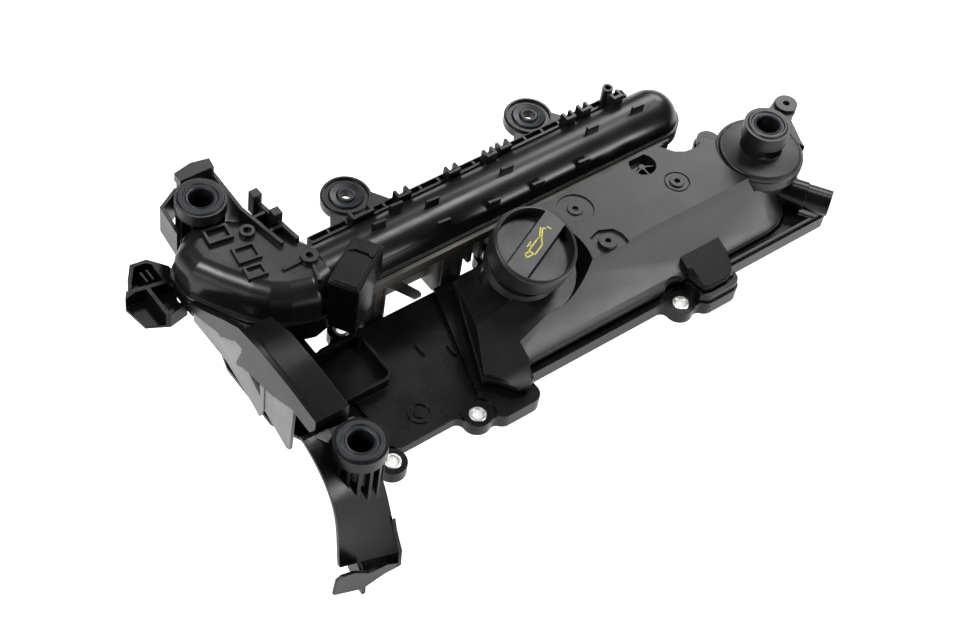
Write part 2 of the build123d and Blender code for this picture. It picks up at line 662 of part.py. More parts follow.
# ------------------------------------------------ pressure-control valve
with BuildPart() as pcv_cap:
    # domed disc with the rear styling-cover column on top
    with BuildSketch(Plane.XZ.offset(-PCV_Y)):
        with BuildLine():
            Polyline(
                (PCV_X, 53.6), (PCV_X + 12, 53.6), (PCV_X + 22.5, 51.0), (PCV_X + 24.6, 49.2), (PCV_X + 27.6, 48.2),
                (PCV_X + 27.6, 46.2), (PCV_X + 29.2, 46.2), (PCV_X + 29.5, 48.2), (PCV_X + 29.5, 53.4), (PCV_X + 28.9, 54.2),
                (PCV_X + 27.6, 54.4), (PCV_X + 27.3, 55.8), (PCV_X + 26.6, 56.3), (PCV_X + 25.8, 56.0), (PCV_X + 22, 56.8),
                (PCV_X + 14, 58.2), (PCV_X, 58.4), close=True,
            )
        make_face()
    revolve(axis=Axis((PCV_X, PCV_Y, 0), (0, 0, 1)), revolution_arc=360)
    with BuildSketch(Plane.XY.offset(57.0)):
        with Locations((PCV_X, PCV_Y)):
            Circle(14.0)
    extrude(amount=TOWER_C[2] - 57.0 - 10.5)
    with BuildSketch(Plane.XY.offset(TOWER_C[2] - 10.5)):
        with Locations((PCV_X, PCV_Y)):
            Circle(15.4)
    extrude(amount=10.5)
    # window in the front of the column
    with BuildSketch(Plane.XY.offset(60.0)):
        with Locations((PCV_X - 3, PCV_Y - 13)):
            Rectangle(15, 14, rotation=12)
    extrude(amount=8.0, mode=Mode.SUBTRACT)
    with BuildSketch(Plane.XY.offset(TOWER_C[2] - 7.0)):
        with Locations((PCV_X, PCV_Y)):
            Circle(13.2)
    extrude(amount=10, mode=Mode.SUBTRACT)
    with BuildSketch(Plane.XY.offset(TOWER_C[2] - 18.0)):
        with Locations((PCV_X, PCV_Y)):
            Circle(8.4)
    extrude(amount=30, mode=Mode.SUBTRACT)
    # screw ear that reaches back over the rail
    with BuildSketch(Plane.XY.offset(50.0)):
        with BuildLine():
            Polyline((160, 20), (171, -15), (172.5, -10), (180, 8), (192.5, 16), (194, 20), (193.5, 24), (190, 28), (185, 29), (176, 25), close=True)
        make_face()
        with Locations((PCV_X, PCV_Y)):
            Circle(26, mode=Mode.SUBTRACT)
        with Locations((186.2, 20.5)):
            Circle(2.2, mode=Mode.SUBTRACT)
    extrude(amount=4.4)
    with BuildSketch(Plane.XY.offset(50.0)):
        with Locations((186.2, 20.5)):
            Circle(7.6)
            Circle(2.2, mode=Mode.SUBTRACT)
    extrude(amount=6.4)
    with BuildSketch(Plane.XY.offset(40.0)):
        with BuildLine():
            Polyline((172.5, -6), (181, 9), (179, 11), (171, -3), close=True)
        make_face()
    extrude(amount=10.0)
    add(breather_cover.part, mode=Mode.SUBTRACT)
pcv_cap.part.label = "pcv_cap"

SEAT_Z = 36.0
with BuildPart() as pcv_diaphragm:
    with BuildSketch(Plane.XZ.offset(-PCV_Y)):
        with BuildLine():
            Polyline(
                (PCV_X + 9.0, 41.2), (PCV_X + 12.6, 41.2), (PCV_X + 15.0, 43.4), (PCV_X + 18.5, 44.8), (PCV_X + 22.0, 47.0),
                (PCV_X + 27.3, 47.0), (PCV_X + 27.3, 48.1), (PCV_X + 24.4, 49.0), (PCV_X + 21.6, 48.0), (PCV_X + 18.0, 45.8),
                (PCV_X + 14.6, 44.4), (PCV_X + 12.2, 42.2), (PCV_X + 9.0, 42.2), close=True,
            )
        make_face()
    revolve(axis=Axis((PCV_X, PCV_Y, 0), (0, 0, 1)), revolution_arc=360)
pcv_diaphragm.part.label = "pcv_diaphragm"

with BuildPart() as pcv_plate:
    with BuildSketch(Plane.XZ.offset(-PCV_Y)):
        with BuildLine():
            Polyline(
                (PCV_X, 39.2), (PCV_X + 13.0, 39.2), (PCV_X + 13.0, 41.0), (PCV_X + 8.8, 41.0), (PCV_X + 8.8, 42.6),
                (PCV_X + 11.0, 42.6), (PCV_X + 11.0, 43.8), (PCV_X, 43.8), close=True,
            )
        make_face()
    revolve(axis=Axis((PCV_X, PCV_Y, 0), (0, 0, 1)), revolution_arc=360)
pcv_plate.part.label = "pcv_plate"

with BuildPart() as pcv_spring:
    with BuildLine():
        Helix(pitch=3.6, height=17.9, radius=5.7, center=(PCV_X, PCV_Y, 20.4))
    with BuildSketch(Plane(origin=(PCV_X + 5.7, PCV_Y, 20.4), z_dir=(0, 1, 0.1))):
        Circle(0.65)
    sweep(is_frenet=True)
pcv_spring.part.label = "pcv_spring"

PIPE_DIR = Vector(174.4 - PCV_X, -46.6 - PCV_Y, 0).normalized()
PIPE_Z, PIPE_R = 26.2, 8.8
with BuildPart() as outlet_pipe:
    # upright seat tube on a small foot, and the spigot that leaves sideways
    with BuildSketch(Plane.XY.offset(16.0)):
        with Locations((PCV_X, PCV_Y)):
            Circle(9.0)
    extrude(amount=SEAT_Z - 16.0)
    spigot = Plane(origin=(PCV_X, PCV_Y, PIPE_Z), z_dir=PIPE_DIR)
    with BuildSketch(spigot):
        Circle(PIPE_R)
    extrude(amount=55.0)
    with BuildSketch(spigot):
        Circle(PIPE_R + 0.8)
    extrude(amount=38.4)
    with BuildSketch(spigot):
        Circle(PIPE_R - 1.9)
    extrude(amount=60.0, mode=Mode.SUBTRACT)
    with BuildSketch(Plane.XY.offset(19.6)):
        with Locations((PCV_X, PCV_Y)):
            Circle(6.9)
    extrude(amount=30.0, mode=Mode.SUBTRACT)
    add(cover_base.part, mode=Mode.SUBTRACT)
outlet_pipe.part.label = "outlet_pipe"

# ------------------------------------------------ styling-cover grommets


def grommet(centre, outer, depth):
    """Rubber socket for a ball stud; rides in the bore of a tower."""
    x, y, z = centre
    with BuildPart() as g:
        with BuildSketch(Plane.XZ.offset(-y)):
            with BuildLine():
                Polyline(
                    (x + BALL_R, z - depth), (x + outer, z - depth), (x + outer, z + 0.2), (x + outer - 0.8, z + 0.9),
                    (x + 11.2, z + 0.9), (x + 10.6, z + 0.1), (x + 9.4, z + 0.1), (x + 8.8, z + 0.6), (x + BALL_R + 0.4, z + 0.2),
                    (x + BALL_R, z - 1.0), close=True,
                )
            make_face()
        revolve(axis=Axis((x, y, 0), (0, 0, 1)), revolution_arc=360)
    return g.part


with BuildPart() as grommet_front_left:
    add(grommet(TOWER_B, GROM_R, 7.0))
grommet_front_left.part.label = "grommet_front_left"
with BuildPart() as grommet_rear_left:
    add(grommet(TOWER_A, GROM_R, 7.0))
grommet_rear_left.part.label = "grommet_rear_left"
with BuildPart() as grommet_right:
    add(grommet(TOWER_C, 13.2, 7.0))
grommet_right.part.label = "grommet_right"

# ------------------------------------------------ intake plenum, upper shell
PL_C, PL_R = (PL_F + PL_B) / 2, (PL_B - PL_F) / 2


def plenum_form(i):
    with BuildPart() as form:
        with BuildSketch(Plane.YZ.offset(PL_X0 + i)):
            with Locations((PL_C, PL_Z + 1.0)):
                Circle(PL_R - i)
                with Locations((0, -30)):
                    Rectangle(60, 60, mode=Mode.SUBTRACT)
            with Locations((PL_C, PL_Z + 0.5)):
                Rectangle(2 * (PL_R - i), 1.0 if i == 0 else 3.0)
        extrude(amount=PL_X1 - PL_X0 - i)
        with BuildSketch(Plane.XZ.offset(-PL_C)):
            with BuildLine():
                Line((PL_X1, PL_Z if i == 0 else PL_Z - 1), (PL_X1 + PL_R - i, PL_Z if i == 0 else PL_Z - 1))
                Line((PL_X1 + PL_R - i, PL_Z if i == 0 else PL_Z - 1), (PL_X1 + PL_R - i, PL_Z + 1))
                RadiusArc((PL_X1 + PL_R - i, PL_Z + 1), (PL_X1, PL_Z + 1 + PL_R - i), -(PL_R - i))
                Line((PL_X1, PL_Z + 1 + PL_R - i), (PL_X1, PL_Z if i == 0 else PL_Z - 1))
            make_face()
        revolve(axis=Axis((PL_X1, PL_C, 0), (0, 0, 1)), revolution_arc=360)
    return form.part


FRONT_TABS = [(-78, 52.0), (-39.5, 50.6), (-4.6, 49.6), (33, 49.6)]
MID_TABS = [(-117, 67.2), (-98.6, 75), (-78, 65.2), (-21, 63.4), (49, 63), (87, 62.4)]
BACK_CLIPS = [(-117, 83.4, 16), (-86, 83, 10), (-48, 82, 9), (-21, 79, 8), (-6, 83, 9), (43, 78, 8), (57.6, 80, 8), (81, 76, 8)]
with BuildPart() as intake_upper_shell:
    add(plenum_form(0.0))
    # weld flange and the ribbed rail along the back
    with BuildSketch(Plane.XY.offset(PL_Z)):
        with Locations(((PL_X0 + PL_X1) / 2, PL_C)):
            Rectangle(PL_X1 - PL_X0, 2 * PL_R + 4.0)
        with Locations((PL_X1, PL_C)):
            Circle(PL_R + 2.0)
    extrude(amount=2.0)
    with BuildSketch(Plane.XY.offset(48.0)):
        with Locations((-28, PL_B + 1.0)):
            Rectangle(252, 6.0)
    extrude(amount=6.4)
    with BuildSketch(Plane.XY.offset(50.0)):
        with Locations((-28, PL_B + 1.6)):
            with GridLocations(14, 0, 18, 1):
                Rectangle(12.2, 3.2)
    extrude(amount=10, mode=Mode.SUBTRACT)
    # ears for the rear rubber mounts
    for ex, ey in EYES:
        with BuildSketch(Plane.XY.offset(EYE_Z - 6.0)):
            with Locations((ex, ey)):
                Circle(16.4)
            with BuildLine():
                Polyline((ex - 15.5, ey - 5), (ex - 27, PL_B), (ex + 27, PL_B), (ex + 15.5, ey - 5), close=True)
            make_face()
        extrude(amount=6.0)
        with BuildSketch(Plane.XY.offset(EYE_Z - 2.0)):
            with Locations((ex, ey)):
                Circle(15.6)
                Circle(14.2, mode=Mode.SUBTRACT)
        extrude(amount=3.4)
    # locating tabs and harness clips
    for x, y in FRONT_TABS + MID_TABS:
        with BuildSketch(Plane.XY.offset(48.0)):
            with Locations((x, y)):
                Rectangle(9.0, 2.0, rotation=-4)
        extrude(amount=PL_Z + 1.0 + (PL_R ** 2 - min(abs(y - PL_C), PL_R - 0.5) ** 2) ** 0.5 + 6.5 - 48.0)
    for x, y, w in BACK_CLIPS:
        top = PL_Z + 1.0 + (PL_R ** 2 - min(abs(y - PL_C), PL_R - 0.5) ** 2) ** 0.5 + 8.0
        with BuildSketch(Plane.XY.offset(48.0)):
            with Locations((x, y)):
                Rectangle(w, 2.2)
            with Locations((x - w / 2 + 1.0, y + 2.5), (x + w / 2 - 1.0, y + 2.5)):
                Rectangle(2.0, 6.0)
        extrude(amount=top - 48.0)
    # clip post near the closed end
    with BuildSketch(Plane.XY.offset(50.0)):
        with Locations((79, 84.6)):
            Circle(3.6)
    extrude(amount=20.0)
    with BuildSketch(Plane.XY.offset(60.0)):
        with Locations((79, 84.6)):
            Circle(2.0)
    extrude(amount=12.0, mode=Mode.SUBTRACT)
    # hollow
    with BuildPart(mode=Mode.PRIVATE) as bore:
        add(plenum_form(WALL))
    add(bore.part, mode=Mode.SUBTRACT)
    # mouth towards the inlet duct
    with BuildSketch(Plane.YZ.offset(PL_X0 - 1)):
        with Locations((PL_C, 45.5)):
            Circle(14.0)
        with Locations((PL_C, 34.0)):
            Rectangle(40, 20, mode=Mode.SUBTRACT)
    extrude(amount=6.0, mode=Mode.SUBTRACT)
    # openings for the rear mounts
    with BuildSketch(Plane.XY.offset(EYE_Z - 10)):
        with Locations(*EYES):
            Circle(11.2)
    extrude(amount=20, mode=Mode.SUBTRACT)
intake_upper_shell.part.label = "intake_upper_shell"

with BuildPart() as eye_grommet_left:
    with BuildSketch(Plane.XZ.offset(-EYES[0][1])):
        with BuildLine():
            ex = EYES[0][0]
            Polyline((ex + 3.8, 45.2), (ex + 11.2, 45.2), (ex + 11.2, 50.6), (ex + 10.4, 51.4), (ex + 6.4, 50.4), (ex + 5.4, 51.8), (ex + 3.8, 51.8), close=True)
        make_face()
    revolve(axis=Axis((ex, EYES[0][1], 0), (0, 0, 1)), revolution_arc=360)
eye_grommet_left.part.label = "eye_grommet_left"
with BuildPart() as eye_grommet_right:
    with BuildSketch(Plane.XZ.offset(-EYES[1][1])):
        with BuildLine():
            ex = EYES[1][0]
            Polyline((ex + 3.8, 45.2), (ex + 11.2, 45.2), (ex + 11.2, 50.6), (ex + 10.4, 51.4), (ex + 6.4, 50.4), (ex + 5.4, 51.8), (ex + 3.8, 51.8), close=True)
        make_face()
    revolve(axis=Axis((ex, EYES[1][1], 0), (0, 0, 1)), revolution_arc=360)
eye_grommet_right.part.label = "eye_grommet_right"

# ------------------------------------------------ intake plenum, lower shell
with BuildPart() as intake_lower_shell:
    with BuildSketch(Plane.XY.offset(PL_Z - 8.0)):
        with Locations(((PL_X0 + PL_X1) / 2, PL_C - 1.5)):
            Rectangle(PL_X1 - PL_X0, 2 * PL_R + 5.0)
        with Locations((PL_X1, PL_C)):
            Circle(PL_R + 2.0)
    extrude(amount=8.0)
    with BuildSketch(Plane.XY.offset(PL_Z - 3.0)):
        with Locations(((PL_X0 + PL_X1) / 2 + 4, PL_F - 3.0)):
            Rectangle(PL_X1 - PL_X0 - 20, 4.0)
    extrude(amount=3.0)
    # four runners down to the head ports
    for x in RUNNERS:
        with BuildSketch(Plane.XY.offset(-1.0)):
            with Locations((x, RUN_C - 6.0)):
                RectangleRounded(22, 33, 5)
        extrude(amount=PL_Z - 4.0)
        with BuildSketch(Plane.XY.offset(2.0)):
            for dx in (-7, 0, 7):
                with Locations((x + dx, 46.6)):
                    Rectangle(2.0, 2.0)
        extrude(amount=PL_Z - 6.0)
    # stiffening bars between the runners
    for x in (-55.0, -47.0, -20.0, 32.0, 75.0):
        with BuildSketch(Plane.XY.offset(12.0)):
            with Locations((x, 51.0)):
                Rectangle(3.0, 6.0)
        extrude(amount=PL_Z - 14.0)
    with BuildSketch(Plane.XY.offset(14.0)):
        with Locations((-34.0, 49.5)):
            Rectangle(10.0, 2.4)
    extrude(amount=PL_Z - 16.0)
    with BuildSketch(Plane.XY.offset(8.0)):
        with Locations((-18.0, 57.0)):
            Rectangle(248, 2.4)
    extrude(amount=8.0)
    # slanting brace beside the first runner
    with BuildSketch(Plane.XZ.offset(-46.5)):
        with BuildLine():
            Polyline((-121, 34), (-121, 30), (-98, 3), (-93, 3), (-93, 6), (-116, 34), close=True)
        make_face()
    extrude(amount=-3.0)
    # hollow tray and runner bores
    with BuildSketch(Plane.XY.offset(PL_Z - 5.4)):
        with Locations(((PL_X0 + PL_X1) / 2, PL_C)):
            Rectangle(PL_X1 - PL_X0 - 2 * WALL, 2 * (PL_R - WALL))
        with Locations((PL_X1, PL_C)):
            Circle(PL_R - WALL)
    extrude(amount=10.0, mode=Mode.SUBTRACT)
    for x in RUNNERS:
        with BuildSketch(Plane.XY.offset(-2.0)):
            with Locations((x, RUN_C - 5.0)):
                RectangleRounded(17, 25, 3.5)
        extrude(amount=50.0, mode=Mode.SUBTRACT)
        # groove for the port seal
        with BuildSketch(Plane.XY.offset(-1.0)):
            with Locations((x, RUN_C - 5.5)):
                RectangleRounded(20.6, 29.6, 4.4)
                RectangleRounded(17.6, 26.6, 3.6, mode=Mode.SUBTRACT)
        extrude(amount=1.6, mode=Mode.SUBTRACT)
    add(cover_base.part, mode=Mode.SUBTRACT)
intake_lower_shell.part.label = "intake_lower_shell"

with BuildPart() as port_seals:
    for x in RUNNERS:
        with BuildSketch(Plane.XY.offset(-1.8)):
            with Locations((x, RUN_C - 5.5)):
                RectangleRounded(20.4, 29.4, 4.3)
                RectangleRounded(17.8, 26.8, 3.7, mode=Mode.SUBTRACT)
        extrude(amount=2.4)
port_seals.part.label = "port_seals"

# ------------------------------------------------ inlet duct and its tower
DUCT = [
    (-231, 119), (-231, 100), (-222, 84), (-211, 67), (-203, 57), (-191, 50), (-174, 45), (-160, 48.5),
    (-160, 92), (-172, 112), (-190, 128), (-215, 132),
]
with BuildSketch(Plane.XY) as duct_plan:
    with BuildLine():
        Polyline(*DUCT, close=True)
    make_face()
    fillet([v for v in duct_plan.vertices() if v.X < -161], 7)

with BuildPart() as inlet_duct_upper:
    with BuildSketch(Plane.XY.offset(38.0)):
        add(duct_plan.sketch)
    extrude(amount=24.0)
    fillet([e for e in inlet_duct_upper.edges().group_by(Axis.Z)[-1] if abs(e.center().X + 160) > 0.5], 13.0)
    # hollow
    with BuildPart(mode=Mode.PRIVATE) as air:
        with BuildSketch(Plane.XY.offset(37.0)):
            add(duct_plan.sketch)
            offset(amount=-2.6)
        extrude(amount=22.4)
        fillet([e for e in air.edges().group_by(Axis.Z)[-1]], 9.0)
    add(air.part, mode=Mode.SUBTRACT)
    with BuildSketch(Plane.YZ.offset(-164.0)):
        with Locations((PL_C, 44.0)):
            Circle(15.0)
            with Locations((0, -16)):
                Rectangle(40, 20, mode=Mode.SUBTRACT)
    extrude(amount=8.0, mode=Mode.SUBTRACT)
    # weld rim
    with BuildSketch(Plane.XY.offset(36.0)):
        add(duct_plan.sketch)
        offset(amount=2.6)
        with Locations((-60, 68)):
            Rectangle(200, 120, mode=Mode.SUBTRACT)
        offset(amount=0)
    extrude(amount=2.2)
    with BuildSketch(Plane.XY.offset(36.0)):
        add(duct_plan.sketch)
        offset(amount=-2.6)
    extrude(amount=4.0, mode=Mode.SUBTRACT)
    # rear tower on a ribbed column
    with BuildSketch(Plane.XY.offset(TOWER_A[2] - 8.5)):
        with Locations(TOWER_A[:2]):
            Circle(TOWER_R)
    extrude(amount=8.5)
    with BuildSketch(Plane.XY.offset(36.0)):
        with Locations(TOWER_A[:2]):
            Circle(10.6)
            with PolarLocations(12.6, 12, start_angle=10):
                Rectangle(5.6, 2.0)
    extrude(amount=TOWER_A[2] - 8.5 - 36.0)
    # wall that runs from the tower to the plenum, and the rail beside it
    with BuildSketch(Plane.XY.offset(40.0)):
        with BuildLine():
            Polyline((-181.5, 153), (-182.4, 122), (-176, 86), (-173.6, 86.4), (-180, 122), (-179.1, 153), close=True)
        make_face()
        with BuildLine():
            Polyline((-203, 161), (-203, 151), (-200.6, 151), (-200.6, 158.6), (-181.5, 158.6), (-181.5, 150), (-179.1, 150), (-179.1, 161), close=True)
        make_face()
    extrude(amount=26.0)
    with BuildSketch(Plane.XY.offset(64.0)):
        with BuildLine():
            Polyline((-203, 163.5), (-203, 156.0), (-179.1, 156.0), (-178, 163.5), (-190, 166), close=True)
        make_face()
    extrude(amount=6.6)
    with BuildSketch(Plane.XY.offset(46.0)):
        with BuildLine():
            Polyline((-171.2, 123), (-166.2, 84), (-163.6, 84.4), (-168.6, 123.3), close=True)
        make_face()
        with Locations((-174.5, 112), (-171.5, 98)):
            Rectangle(8, 2.2)
    extrude(amount=20.0)
    with BuildSketch(Plane.XY.offset(56.0)):
        with Locations((-170.5, 123), (-168, 104)):
            Rectangle(6, 6)
    extrude(amount=17.0)
    with BuildSketch(Plane.XY.offset(40.0)):
        with BuildLine():
            Polyline((-181, 124), (-190, 131), (-176, 116), (-165, 98), (-160, 92), (-160, 96), (-166, 108), (-172, 122), close=True)
        make_face()
    extrude(amount=8.0)
    # sail-shaped wall outboard of the tower
    with BuildSketch(Plane.XY.offset(36.0)):
        with BuildLine():
            Polyline((-221.5, 130), (-219, 154), (-203, 163), (-201.6, 161), (-216.8, 152.6), (-219.2, 130), close=True)
        make_face()
    extrude(amount=22.0)
    # harness clips, small bosses and stiffening ribs
    for cx, cy, w, d, h in ((-203.5, 113, 16, 12, 9), (-196.5, 92, 15, 13, 8), (-199.5, 77.5, 13, 10, 8)):
        with BuildSketch(Plane.XY.offset(56.0)):
            with Locations((cx, cy)):
                Rectangle(w, d, rotation=-8)
                Rectangle(w - 3.6, d - 3.6, rotation=-8, mode=Mode.SUBTRACT)
        extrude(amount=h)
    with BuildSketch(Plane.XY.offset(56.0)):
        with Locations((-187.0, 106)):
            Circle(4.8)
            Circle(2.4, mode=Mode.SUBTRACT)
    extrude(amount=9.0)
    with BuildSketch(Plane.XY.offset(52.0)):
        with Locations((-166, 70)):
            Circle(5.6)
            Circle(2.2, mode=Mode.SUBTRACT)
    extrude(amount=13.0)
    with BuildSketch(Plane.XY.offset(58.0)):
        with BuildLine():
            Polyline((-171, 71), (-185, 71), (-185, 69), (-171, 69), close=True)
        make_face()
        with BuildLine():
            Polyline((-168, 65.2), (-172, 52), (-170, 51.4), (-166, 64.6), close=True)
        make_face()
    extrude(amount=5.5)
    # bore for the rubber socket
    with BuildSketch(Plane.XY.offset(TOWER_A[2] - 7.0)):
        with Locations(TOWER_A[:2]):
            Circle(GROM_R)
    extrude(amount=10, mode=Mode.SUBTRACT)
    with BuildSketch(Plane.XY.offset(TOWER_A[2] - 24.0)):
        with Locations(TOWER_A[:2]):
            Circle(8.4)
    extrude(amount=30, mode=Mode.SUBTRACT)
    # nothing reaches into the plenum
    with BuildSketch(Plane.YZ.offset(-160.0)):
        Rectangle(400, 400)
    extrude(amount=60, mode=Mode.SUBTRACT)
inlet_duct_upper.part.label = "inlet_duct_upper"

with BuildPart() as inlet_duct_lower:
    with BuildSketch(Plane.XY.offset(16.0)):
        add(duct_plan.sketch)
        offset(amount=-1.4)
    extrude(amount=20.0)
    with BuildSketch(Plane.XY.offset(24.0)):
        add(duct_plan.sketch)
        offset(amount=0.6)
    extrude(amount=12.0)
    with BuildSketch(Plane.XY.offset(32.6)):
        add(duct_plan.sketch)
        offset(amount=2.6)
    extrude(amount=1.6)
    with BuildSketch(Plane.XY.offset(18.6)):
        add(duct_plan.sketch)
        offset(amount=-4.0)
    extrude(amount=30.0, mode=Mode.SUBTRACT)
    # port collar and the foot that rests on the web
    with BuildSketch(Plane.XY.offset(1.0)):
        with Locations((-196, 92)):
            Circle(23.5)
    extrude(amount=22.6)
    with BuildSketch(Plane.XY.offset(5.0)):
        with Locations((-196, 92)):
            Circle(28.0)
    extrude(amount=3.0)
    with BuildSketch(Plane.XY.offset(-10.0)):
        with Locations((-196, 92)):
            Circle(19.5)
    extrude(amount=40.0, mode=Mode.SUBTRACT)
    with BuildSketch(Plane.YZ.offset(-160.0)):
        Rectangle(400, 400)
    extrude(amount=60, mode=Mode.SUBTRACT)
    add(cover_base.part, mode=Mode.SUBTRACT)
inlet_duct_lower.part.label = "inlet_duct_lower"

# ------------------------------------------------ harness block on the plenum
with BuildPart() as harness_block:
    with BuildSketch(Plane.XY.offset(30.0)):
        with Locations((-148.5, 46.5)):
            RectangleRounded(41, 20.5, 1.6, rotation=33)
    extrude(amount=39.0)
    with BuildSketch(Plane.XY.offset(69.0)):
        with Locations((-148.5, 46.5)):
            RectangleRounded(39, 18.5, 1.2, rotation=33)
    extrude(amount=1.2)
    with BuildSketch(Plane.XY.offset(30.0)):
        with Locations((-148.5, 46.5)):
            RectangleRounded(36.6, 16.1, 1.0, rotation=33)
    extrude(amount=36.5, mode=Mode.SUBTRACT)
    with BuildSketch(Plane.YZ.offset(-200)):
        with Locations((PL_C, 44)):
            Circle(PL_R)
        with Locations((PL_C - 0.5, 30)):
            Rectangle(2 * PL_R + 12, 30)
    extrude(amount=100, mode=Mode.SUBTRACT)
    with BuildSketch(Plane.XY):
        add(duct_plan.sketch)
        offset(amount=2.7)
    extrude(amount=62.0, mode=Mode.SUBTRACT)
harness_block.part.label = "harness_block"

# ------------------------------------------------ wiring bracket and side shield
with BuildPart() as wiring_bracket:
    with BuildSketch(Plane.XY.offset(12.0)):
        with BuildLine():
            Polyline((-244, 149), (-233, 147.5), (-224, 136), (-224, 106), (-243, 102), (-257, 109), (-260, 127), (-252, 138), close=True)
        make_face()
    extrude(amount=11.8)
    # three shallow trays
    with BuildSketch(Plane.XY.offset(14.2)):
        with BuildLine():
            Polyline((-242.6, 105.2), (-227.0, 108.6), (-227.0, 123.6), (-242.6, 126.6), close=True)
        make_face()
        with BuildLine():
            Polyline((-245.6, 100.0), (-245.6, 127.2), (-252.0, 128.4), (-262.0, 126.0), (-262.0, 100.0), close=True)
        make_face()
        with BuildLine():
            Polyline((-256.0, 131.6), (-251.6, 131.6), (-233.2, 128.0), (-232.4, 142.4), (-234.8, 145.0), (-242.6, 146.0), (-250.2, 135.8), (-252.8, 140.0), close=True)
        make_face()
    extrude(amount=20.0, mode=Mode.SUBTRACT)
    with BuildSketch(Plane.XY.offset(13.0)):
        with Locations((-240.4, 138.0), (-236.2, 138.0)):
            Rectangle(1.6, 9)
    extrude(amount=8.0)
    with BuildSketch(Plane.XY.offset(8.0)):
        add(duct_plan.sketch)
        offset(amount=-1.4)
    extrude(amount=30.0, mode=Mode.SUBTRACT)
wiring_bracket.part.label = "wiring_bracket"

with BuildPart() as side_shield:
    with BuildSketch(Plane.YZ.offset(-231.0)):
        with BuildLine():
            Polyline((95.6, 34.0), (95.6, 17.0), (58.8, 17.5), (30.8, 8.2), (21.7, 4.0), (17.0, 16.1), (-7.3, 6.2), (-10.4, 7.9), (-12.1, 52.0), (-2.0, 57.5), (20, 58.0), (33, 60.5), (45, 61.0), (62, 50.0), (84, 40.0), close=True)
        make_face()
        with BuildLine():
            Polyline((35, 33), (23, 35), (21.5, 24), close=True)
        make_face(mode=Mode.SUBTRACT)
    extrude(amount=2.2)
    with BuildSketch(Plane.YZ.offset(-231.8)):
        with BuildLine():
            Polyline((18.6, 40), (17.4, 40), (16.4, 16.4), (17.8, 15.8), close=True)
        make_face()
    extrude(amount=1.2)
    add(cover_base.part, mode=Mode.SUBTRACT)
    add(inlet_duct_lower.part, mode=Mode.SUBTRACT)
side_shield.part.label = "side_shield"

# ------------------------------------------------------------------ export
for piece in (
    cover_base, cover_gasket, bolt_limiters, breather_cover, baffle_plate, drain_valve, oil_filler_cap, cap_seal,
    pcv_cap, pcv_diaphragm, pcv_plate, pcv_spring, outlet_pipe, grommet_front_left, grommet_rear_left, grommet_right,
    intake_upper_shell, intake_lower_shell, port_seals, eye_grommet_left, eye_grommet_right, inlet_duct_upper,
    inlet_duct_lower, harness_block, wiring_bracket, side_shield,
):
    placed = piece.part.moved(Location((0, LAND_Y, 0)))
    placed.label = piece.part.label
    export_step(placed, "parts/" + placed.label + ".step")
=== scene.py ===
import bpy, bmesh, math, random
import numpy as np
from mathutils import Vector, Matrix


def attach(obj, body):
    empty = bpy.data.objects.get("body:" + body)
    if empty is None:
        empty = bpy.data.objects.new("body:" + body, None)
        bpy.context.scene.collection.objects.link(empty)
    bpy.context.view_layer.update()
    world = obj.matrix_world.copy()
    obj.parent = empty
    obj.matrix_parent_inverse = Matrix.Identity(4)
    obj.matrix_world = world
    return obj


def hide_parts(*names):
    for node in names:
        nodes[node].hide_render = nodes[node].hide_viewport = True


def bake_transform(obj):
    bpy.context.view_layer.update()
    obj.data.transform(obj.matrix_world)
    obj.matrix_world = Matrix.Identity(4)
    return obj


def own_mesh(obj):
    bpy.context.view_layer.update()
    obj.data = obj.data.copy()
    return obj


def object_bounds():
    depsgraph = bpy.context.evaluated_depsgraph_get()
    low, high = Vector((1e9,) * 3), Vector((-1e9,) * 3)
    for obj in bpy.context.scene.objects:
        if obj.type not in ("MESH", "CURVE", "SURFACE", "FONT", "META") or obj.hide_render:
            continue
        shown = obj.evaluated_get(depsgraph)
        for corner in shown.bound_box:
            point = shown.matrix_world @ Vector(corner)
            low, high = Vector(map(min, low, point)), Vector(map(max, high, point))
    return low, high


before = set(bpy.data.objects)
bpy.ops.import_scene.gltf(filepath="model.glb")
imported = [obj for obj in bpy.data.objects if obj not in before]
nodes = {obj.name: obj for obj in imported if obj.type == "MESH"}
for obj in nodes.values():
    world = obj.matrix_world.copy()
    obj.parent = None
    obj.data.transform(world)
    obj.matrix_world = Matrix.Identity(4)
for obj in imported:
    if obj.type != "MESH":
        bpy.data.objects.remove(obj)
cad_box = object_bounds()
random.seed(7)
MM = 0.001
LAND = 0.04325                     # the frame's origin is this far in front of the cover's middle
scene = bpy.context.scene

# ------------------------------------------------------------------ camera
cam_data = bpy.data.cameras.new("camera")
cam = bpy.data.objects.new("camera", cam_data)
scene.collection.objects.link(cam)
right = Vector((0.7944, -0.5966, 0.1126)).normalized()
fwd = Vector((0.4475, 0.4486, -0.7743)).normalized()
up = right.cross(fwd).normalized()
right = fwd.cross(up).normalized()
m = Matrix((right, up, -fwd)).transposed().to_4x4()
m.translation = Vector((-0.6332, -0.5509 + LAND, 0.9739))
cam.matrix_world = m
cam_data.sensor_width = 36.0
cam_data.lens = 74.36
cam_data.clip_end = 20.0
scene.camera = cam

# ------------------------------------------------------------------ floor and light
def area(name, loc, target, size, size_y, power, color=(1, 1, 1)):
    d = bpy.data.lights.new(name, "AREA")
    d.shape = "RECTANGLE"
    d.size, d.size_y, d.energy, d.color = size, size_y, power, color
    o = bpy.data.objects.new(name, d)
    scene.collection.objects.link(o)
    o.location = loc
    o.rotation_euler = (Vector(target) - Vector(loc)).to_track_quat("-Z", "Y").to_euler()
    return o


